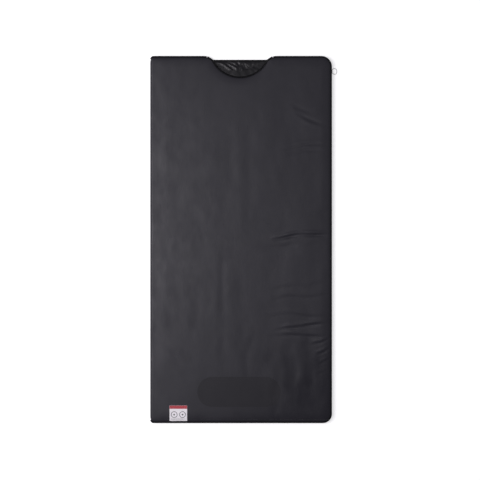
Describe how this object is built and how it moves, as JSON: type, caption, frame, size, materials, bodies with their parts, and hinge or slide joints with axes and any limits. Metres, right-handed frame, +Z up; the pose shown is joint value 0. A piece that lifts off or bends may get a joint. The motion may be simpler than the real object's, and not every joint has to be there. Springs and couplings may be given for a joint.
{
  "type": "infrared sauna blanket",
  "caption": "Zip-up infrared sauna blanket, closed and flat: heated mat and cover joined by a fold on one side, coil zip on the other side and foot, scooped neck opening, inlet at the foot",
  "frame": {"origin": "middle of the mat's underside, on the floor the blanket lies on", "axes": "+X towards the zipped side, +Y towards the head, +Z up through the cover"},
  "size_m": [0.9194, 1.8, 0.0304],
  "materials": {
    "shell_leather": "semi-matte coated fabric, fine grain, soft creases",
    "patch_leather": "smooth matte coated fabric, a shade darker than the shell",
    "liner_leather": "glossy coated fabric, closely wrinkled",
    "batting": "soft polyester wadding",
    "reflector_foil": "thin bright foil on film",
    "heater_felt": "needled felt",
    "heating_wire": "silicone-covered heating cable",
    "piping": "covered cord, satin sheen",
    "binding": "folded binding tape, satin sheen",
    "sensor_resin": "dipped resin bead",
    "cutout_plastic": "moulded case",
    "lead_sleeving": "silicone-covered lead",
    "zip_tape": "woven polyester tape, herringbone",
    "zip_coil": "nylon coil, slight sheen",
    "zip_metal": "die-cast metal, dark plated",
    "slider_metal": "die-cast metal, black lacquer, worn on its edges",
    "ring_metal": "nickel-plated wire, polished",
    "housing_plastic": "moulded plastic, fine texture",
    "sleeve_metal": "nickel-plated turned metal",
    "insulator_plastic": "moulded heat-proof plastic",
    "contact_brass": "gold-plated contacts",
    "screw_steel": "plated steel",
    "label_fabric": "satin-woven label with a coloured band"
  },
  "bodies": {
    "mat": {"mat_outer_shell": "shell_leather", "mat_neck_shell": "shell_leather", "mat_shoulder_shell_left": "shell_leather", "mat_shoulder_shell_right": "shell_leather", "mat_neck_facing": "liner_leather", "mat_shoulder_liner_left": "liner_leather", "mat_shoulder_liner_right": "liner_leather", "mat_head_batting": "batting", "mat_batting": "batting", "mat_heat_reflector": "reflector_foil", "mat_heater_felt": "heater_felt", "mat_heating_wire": "heating_wire", "mat_liner": "liner_leather", "mat_piping": "piping", "mat_neck_binding": "binding", "mat_thermistor": "sensor_resin", "mat_thermal_cutout": "cutout_plastic", "mat_leads": "lead_sleeving", "zip_tape_mat": "zip_tape", "zip_coil_mat": "zip_coil", "zip_top_stop": "zip_metal", "zip_box": "zip_metal", "fold_spine": "shell_leather", "fold_liner": "liner_leather", "fold_piping": "piping", "crossover_leads": "lead_sleeving", "socket_housing": "housing_plastic", "socket_sleeve": "sleeve_metal", "socket_insulator": "insulator_plastic", "socket_pins": "contact_brass", "socket_screws": "screw_steel"},
    "cover": {"cover_outer_shell": "shell_leather", "cover_neck_facing": "liner_leather", "cover_head_batting": "batting", "cover_batting": "batting", "cover_heat_reflector": "reflector_foil", "cover_heater_felt": "heater_felt", "cover_heating_wire": "heating_wire", "cover_liner": "liner_leather", "cover_piping": "piping", "cover_neck_binding": "binding", "cover_thermistor": "sensor_resin", "cover_thermal_cutout": "cutout_plastic", "cover_leads": "lead_sleeving", "zip_tape_cover": "zip_tape", "zip_coil_cover": "zip_coil", "zip_pin": "zip_metal", "care_label": "label_fabric", "blank_patch": "patch_leather"},
    "slider": {"zip_slider": "slider_metal"},
    "pull_ring": {"zip_pull_ring": "ring_metal"}
  },
  "joints": [
    {"name": "cover_fold", "type": "hinge", "parent": "mat", "child": "cover", "pos_m": [-0.431, 0, 0.015], "axis": [0, -1, 0], "range_deg": [0, 179.8], "deforming": ["fold_spine", "fold_liner", "fold_piping", "crossover_leads"]},
    {"name": "zip_slide", "type": "slide", "parent": "mat", "child": "slider", "axis": [0, -1, 0], "range_m": [0, 1.64]},
    {"name": "ring_swing", "type": "hinge", "parent": "slider", "child": "pull_ring", "pos_m": [0.447, 0.827, 0.015], "axis": [0, -1, 0], "range_deg": [0, 112]}
  ]
}
